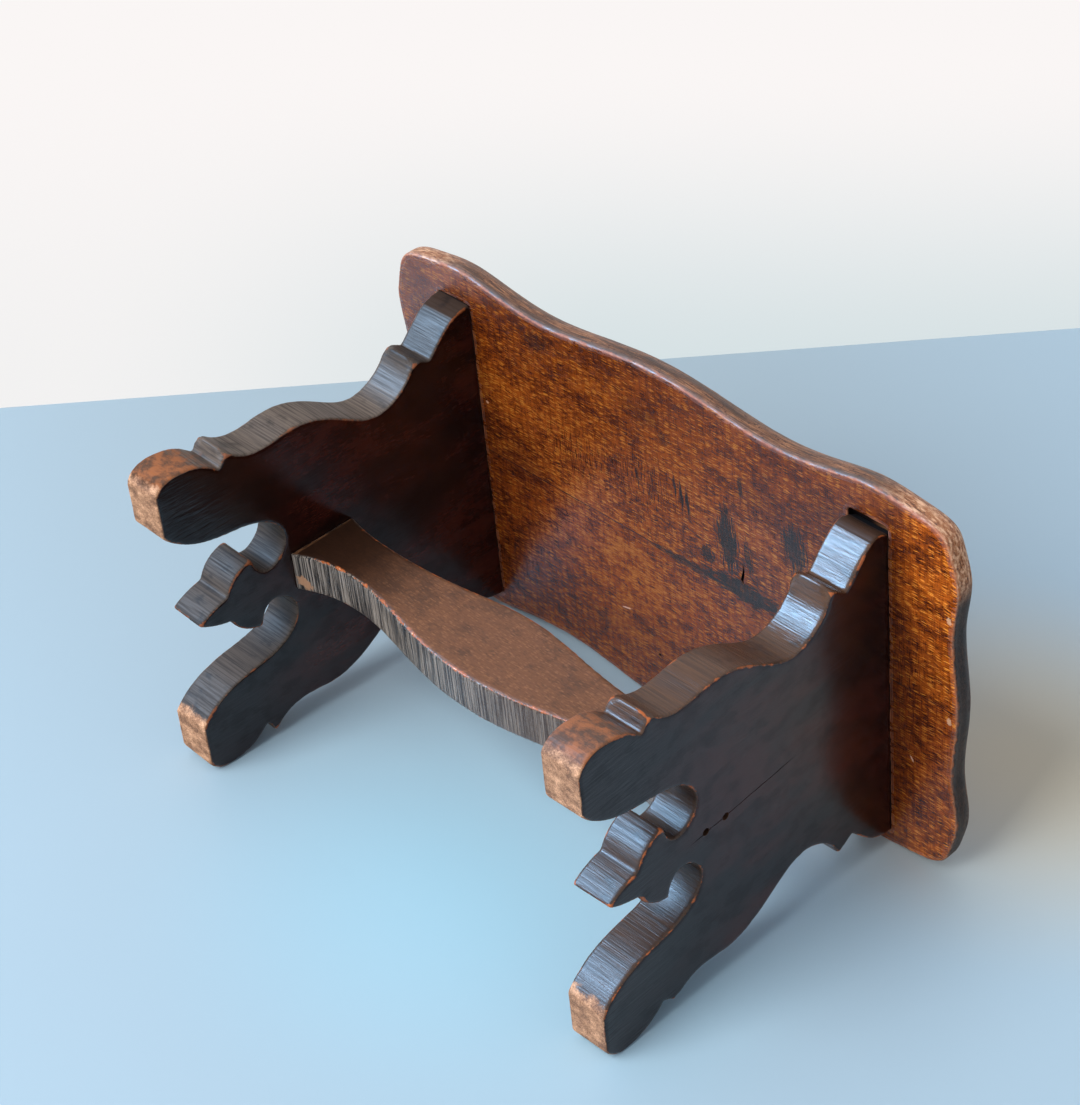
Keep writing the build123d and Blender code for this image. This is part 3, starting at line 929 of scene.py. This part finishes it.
def cut(piece, cutters):
    """Takes the cutters' solids out of the piece."""
    for mesh in cutters:
        cutter = new_object("cutter", mesh)
        modifier = piece.modifiers.new("Cut", "BOOLEAN")
        modifier.object = cutter
        modifier.operation = "DIFFERENCE"
        modifier.solver = "MANIFOLD"
        apply_modifiers(piece)
        bpy.data.objects.remove(cutter)
        bpy.data.meshes.remove(mesh)


def punch(piece, nails, wear):
    """Cuts the punched holes over some nails."""
    cut(piece, [cylinder_cutter(*nail_line(name), wear.mouth_radius, wear.mouth_reach) for name in nails])


def half_of(piece, name, way):
    """A copy of the piece's part on the side of the glue line that way points to."""
    shape = bmesh.new()
    shape.from_mesh(piece.data)
    geometry = shape.verts[:] + shape.edges[:] + shape.faces[:]
    outwards = (0, -way, 0)
    bmesh.ops.bisect_plane(shape, geom=geometry, plane_co=(0, 0, 0), plane_no=outwards, clear_outer=True)
    fill_open_edges(shape)
    return new_object(name, mesh_of(shape, name))


def finish_piece(piece, node, material):
    """Gives a piece its smooth shading, its material and its body, and hides the CAD node that it stands
    for.
    """
    piece.data.materials.clear()
    piece.data.materials.append(material)
    for polygon in piece.data.polygons:
        polygon.use_smooth = True
    piece.data.set_sharp_from_angle(angle=SHARP_ANGLE)
    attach(piece, "root")
    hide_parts(node)


def leg_face(side, depth):
    """The places across of a leg's inner and outer face, so far below the underside."""
    inner = LEG_INNER + depth * LEG_SPLAY
    outwards = 1 if side == "right" else -1
    return [LEGS_MIDDLE + outwards * place for place in (inner, inner + LEG_THICKNESS)]


def leg_nudges(side):
    """Worn corners of a leg's two sharp tips, and the places of the right leg that differ."""
    nudges = []
    for (along, height), move in TIP_CORNERS:
        for face in leg_face(side, UNDERSIDE - height):
            nudges.append(((face, along, height), TIP_REACH, move))
    if side == "right":
        middle = sum(leg_face(side, 0)) / 2
        for place, radius, move in RIGHT_LEG_PLACES:
            nudges.append(((middle, *place), radius, move))
    return nudges


def nail_names(kind, sides=SIDES):
    ends = PLACES if kind == "seat_nail" else LEVELS
    return [f"{kind}_{side}_{end}" for side in sides for end in ends]


class FOOTSTOOL_OT_seat(bpy.types.Operator):
    """Make the two worn seat boards"""

    bl_idname = "footstool.seat"
    bl_label = "Seat boards"

    def execute(self, context):
        wear, finish = context.scene.footstool_wear, context.scene.footstool_finish
        nails = nail_names("seat_nail")
        nodes = [f"seat_board_{name}" for name, *_ in SEAT_BOARDS]
        seat = worn_piece("seat", nodes, nails, wear, SEEDS["seat"], spread=SEAT_SPREAD)
        punch(seat, nails, wear)
        hole = Vector((*SEAT_HOLE, UNDERSIDE + wear.hole_depth / MM)) * MM
        hole_reach = wear.hole_depth + wear.mouth_radius
        cut(seat, [crack_cutter(SEAT_CRACK, wear.crack_depth / MM),
                   cylinder_cutter(hole, Vector((0, 0, -1)), wear.hole_radius, hole_reach)])
        for name, way, offset, redness in SEAT_BOARDS:
            half = half_of(seat, f"worn_seat_board_{name}", way)
            material = seat_material(f"Stained beech, {name} board", offset, finish, redness)
            finish_piece(half, f"seat_board_{name}", material)
        bpy.data.objects.remove(seat)
        return {"FINISHED"}


class FOOTSTOOL_OT_legs(bpy.types.Operator):
    """Make the two worn legs"""

    bl_idname = "footstool.legs"
    bl_label = "Legs"

    def execute(self, context):
        wear, finish = context.scene.footstool_wear, context.scene.footstool_finish
        material = leg_material(finish)
        for side in SIDES:
            punched = nail_names("stretcher_nail", (side,))
            nails = nail_names("seat_nail", (side,)) + punched
            node = f"leg_{side}"
            leg = worn_piece(f"worn_{node}", [node], nails, wear, SEEDS[side], leg_nudges(side))
            punch(leg, punched, wear)
            finish_piece(leg, node, material)
        return {"FINISHED"}


class FOOTSTOOL_OT_stretcher(bpy.types.Operator):
    """Make the worn stretcher"""

    bl_idname = "footstool.stretcher"
    bl_label = "Stretcher"

    def execute(self, context):
        wear, finish = context.scene.footstool_wear, context.scene.footstool_finish
        nails = nail_names("stretcher_nail")
        stretcher = worn_piece("worn_stretcher", ["stretcher"], nails, wear, SEEDS["stretcher"])
        finish_piece(stretcher, "stretcher", stretcher_material(finish))
        return {"FINISHED"}


class FOOTSTOOL_OT_fastenings(bpy.types.Operator):
    """Give the nails and the stoppings their finish"""

    bl_idname = "footstool.fastenings"
    bl_label = "Nails and stoppings"

    def execute(self, context):
        finish = context.scene.footstool_finish
        steel, wax = nail_material(finish), stopping_material(finish)
        for name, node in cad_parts.items():
            if "nail" in name or "stopping" in name:
                node.data.materials.clear()
                node.data.materials.append(wax if "stopping" in name else steel)
        return {"FINISHED"}


# Stage

# The steepest slope, either way, that is tried for the table, and how often the search halves the range
TABLE_SLOPE = 0.3
TABLE_ROUNDS = 60
TABLE_ROUGHNESS = 0.45
FLOOR_ROUGHNESS = 0.6
# How near the camera sees, in metres
CAMERA_NEAR = 0.05
# Where the wall has painted shade, greyer to the picture's right and down, as cosines: (start, end), and
# the least grey
WALL_RIGHT = (-0.17, 0.03)
WALL_DOWN = (0.17, 0.05)
WALL_GREY = 0.22
# Painted light on the table: its painted shade away from the window, its painted sky light that makes it
# cooler and the painted warm bounce from the stool: middle and radius along X and Z, in millimetres
FAR_SHADE = ((-250.0, 300.0), (420.0, 420.0))
SKY_LIT_SIDE = ((20.0, 30.0), (170.0, 150.0))
WARM_BOUNCE_SIDE = ((130.0, 240.0), (150.0, 130.0))


def table_plane(points):
    """(a point, the normal) of the plane that the stool lies on, which touches its seat and its feet."""
    middle = (points[:, 2].min() + points[:, 2].max()) / 2
    low, high = points[points[:, 2] < middle], points[points[:, 2] >= middle]
    first, last = -TABLE_SLOPE, TABLE_SLOPE
    for _ in range(TABLE_ROUNDS):
        slope = (first + last) / 2
        if (low[:, 1] - slope * low[:, 2]).max() > (high[:, 1] - slope * high[:, 2]).max():
            last = slope
        else:
            first = slope
    touch = (high[:, 1] - slope * high[:, 2]).max()
    return Vector((0, touch, 0)), Vector((0, -1, slope)).normalized()


def table_corners(camera, point, normal, stage):
    """The table's corners in its plane, from its far edge as the photo shows it."""
    start = camera.matrix_world.translation
    focal = camera.data.lens / camera.data.sensor_width * PHOTO_WIDTH
    ends = []
    for across, down in ((0, stage.edge_left), (PHOTO_WIDTH, stage.edge_right)):
        ray = Vector((across - PHOTO_WIDTH / 2, PHOTO_HEIGHT / 2 - down, -focal))
        ray = camera.matrix_world.to_3x3() @ ray
        ends.append(start + ray * ((point - start).dot(normal) / ray.dot(normal)))
    along = (ends[1] - ends[0]).normalized()
    inwards = normal.cross(along)
    if inwards.dot(start - ends[0]) < 0:
        inwards = -inwards
    far = [end + along * way * stage.table_reach for end, way in zip(ends, (-1, 1))]
    near = [corner + inwards * stage.table_reach for corner in far]
    corners = [far[0], far[1], near[1], near[0]]
    if (corners[1] - corners[0]).cross(corners[2] - corners[1]).dot(normal) < 0:
        corners.reverse()
    return corners


def stage_plane(name, corners, material):
    mesh = bpy.data.meshes.new(name)
    mesh.from_pydata([tuple(corner) for corner in corners], [], [(0, 1, 2, 3)])
    mesh.materials.append(material)
    new_object(name, mesh)


def stage_material(name, colour, roughness, shown, glows=()):
    """A painted surface that is there where shown gives 1, and elsewhere lets everything through. Glows are
    soft places of other colours, which paint light and shade on it: colour, middle and radius along X and
    Z, in millimetres."""
    board = Board(name)
    painted = board.blend(board.place.noise(420.0, 3.0, 0.5), [part * 0.97 for part in colour], colour)
    for glow, (middle_x, middle_z), (radius_x, radius_z) in glows:
        apart = (board.place - (middle_x, 0.0, middle_z)) * (1 / radius_x, 0.0, 1 / radius_z)
        painted = painted.coat(apart.length().mask((1.0, 0.0)), glow)
    board.feed(board.shader.inputs["Base Color"], painted)
    board.feed(board.shader.inputs["Roughness"], roughness)
    clear = board.give("ShaderNodeBsdfTransparent")
    seen = board.give("ShaderNodeMixShader", (shown(board), clear, board.paint))
    board.feed(board.end.inputs["Surface"], seen)
    return board.material


def front_only(board):
    return 1.0 - board.give("ShaderNodeNewGeometry", output="Backfacing")


def table_shown(board):
    """The table shows from its front to the camera that looks from below the floor, and to reflections."""
    path = board.outputs("ShaderNodeLightPath")
    below = board.math("LESS_THAN", board.place.parts()[2], 0.0)
    passed = board.math("GREATER_THAN", path["Transparent Depth"], 0.5)
    seen = path["Is Camera Ray"] * below.most(passed)
    mirrored = path["Is Glossy Ray"].most(path["Is Transmission Ray"])
    return front_only(board) * seen.most(mirrored)


def floor_shown(board):
    """The floor shows from above to the camera alone."""
    return front_only(board) * board.outputs("ShaderNodeLightPath")["Is Camera Ray"]


def light_world(stage, turn):
    """Even light for surfaces, and a pale wall behind with painted shade that makes it greyer at the
    picture's right and foot.
    """
    world = bpy.data.worlds.new("Pale room")
    bpy.context.scene.world = world
    world.use_nodes = True
    sheet = Sheet(world.node_tree)
    way = sheet.outputs("ShaderNodeTexCoord")["Generated"]
    right, up = (sheet.vector("DOT_PRODUCT", way, tuple(turn.col[axis][:3])) for axis in (0, 1))
    shade = right.rise(*WALL_RIGHT, WALL_GREY, 1.0) * up.mask(WALL_DOWN)
    wall = sheet.give("ShaderNodeBackground", [sheet.blend(shade, stage.wall_light, stage.wall_shade)])
    room = sheet.give("ShaderNodeBackground", (stage.ambient_colour, stage.ambient_power))
    path = sheet.outputs("ShaderNodeLightPath")
    seen = path["Is Camera Ray"].most(path["Is Glossy Ray"]).most(path["Is Transmission Ray"])
    sheet.add("ShaderNodeOutputWorld", {"Surface": sheet.give("ShaderNodeMixShader", (seen, room, wall))})


def area_lamp(name, colour, power, size, way, distance):
    """A square lamp that lights the middle of the stool from that way and distance."""
    aim = (cad_box[0] + cad_box[1]) / 2
    place = aim + Vector(way).normalized() * distance
    data = bpy.data.lights.new(name, "AREA")
    data.color = colour
    data.energy = power
    data.shape = "SQUARE"
    data.size = size
    lamp = new_object(name, data)
    lamp.location = place
    lamp.rotation_euler = (aim - place).to_track_quat("-Z", "Y").to_euler()
    lamp.visible_camera = False
    return lamp


class FOOTSTOOL_OT_stage(bpy.types.Operator):
    """Set up the camera, the table, the floor, the window and the room"""

    bl_idname = "footstool.stage"
    bl_label = "Stage"

    def execute(self, context):
        scene, stage = context.scene, context.scene.footstool_stage
        camera_data = bpy.data.cameras.new("Camera")
        camera_data.sensor_fit = "HORIZONTAL"
        camera_data.lens = stage.lens
        camera_data.clip_start = CAMERA_NEAR
        camera = new_object("Camera", camera_data)
        turn = Euler(stage.camera_turn).to_matrix().to_4x4()
        camera.matrix_world = Matrix.Translation(stage.camera_place) @ turn
        scene.camera = camera
        context.view_layer.update()
        meshes = [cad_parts[node].data for node in ("seat_board_back", "leg_left", "leg_right")]
        point, normal = table_plane(np.vstack([rows(mesh.vertices, "co", 3) for mesh in meshes]))
        colours = (stage.table_far_shade, stage.table_sky_lit, stage.table_warm_bounce)
        glows = [(colour, *side) for colour, side in zip(colours, (FAR_SHADE, SKY_LIT_SIDE, WARM_BOUNCE_SIDE))]
        painted = stage_material("Painted table", stage.table_colour, TABLE_ROUGHNESS, table_shown, glows)
        stage_plane("table", table_corners(camera, point, normal, stage), painted)
        reach = stage.floor_reach
        corners = [(x * reach, y * reach, 0) for x, y in ((-1, -1), (1, -1), (1, 1), (-1, 1))]
        plain = stage_material("Plain floor", stage.floor_colour, FLOOR_ROUGHNESS, floor_shown)
        stage_plane("floor", corners, plain)
        light_world(stage, turn)
        window = area_lamp("Window", stage.window_colour, stage.window_power, stage.window_size,
                           stage.window_way, stage.window_distance)
        window.visible_glossy = False
        sky = area_lamp("Window in reflections", stage.sky_colour, stage.sky_power, stage.sky_size,
                        stage.sky_way, stage.window_distance)
        sky.visible_diffuse = False
        scene.view_settings.view_transform = "Standard"
        return {"FINISHED"}


class FOOTSTOOL_PT_panel(bpy.types.Panel):
    """Lists the footstool's pieces"""

    bl_idname = "FOOTSTOOL_PT_panel"
    bl_label = "Fret-cut footstool"
    bl_space_type = "VIEW_3D"
    bl_region_type = "UI"
    bl_category = "Footstool"

    def draw(self, context):
        for operator in OPERATORS:
            self.layout.operator(operator.bl_idname)


GROUPS = {
    "footstool_wear": FootstoolWear,
    "footstool_finish": FootstoolFinish,
    "footstool_stage": FootstoolStage,
}
OPERATORS = (
    FOOTSTOOL_OT_seat,
    FOOTSTOOL_OT_legs,
    FOOTSTOOL_OT_stretcher,
    FOOTSTOOL_OT_fastenings,
    FOOTSTOOL_OT_stage,
)
CLASSES = (*GROUPS.values(), *OPERATORS, FOOTSTOOL_PT_panel)


def register():
    for item in CLASSES:
        bpy.utils.register_class(item)
    for name, group in GROUPS.items():
        setattr(bpy.types.Scene, name, bpy.props.PointerProperty(type=group))


def unregister():
    for name in GROUPS:
        delattr(bpy.types.Scene, name)
    for item in reversed(CLASSES):
        bpy.utils.unregister_class(item)


def main():
    register()
    bpy.ops.footstool.stage()
    bpy.ops.footstool.seat()
    bpy.ops.footstool.legs()
    bpy.ops.footstool.stretcher()
    bpy.ops.footstool.fastenings()


if __name__ == "__main__":
    main()
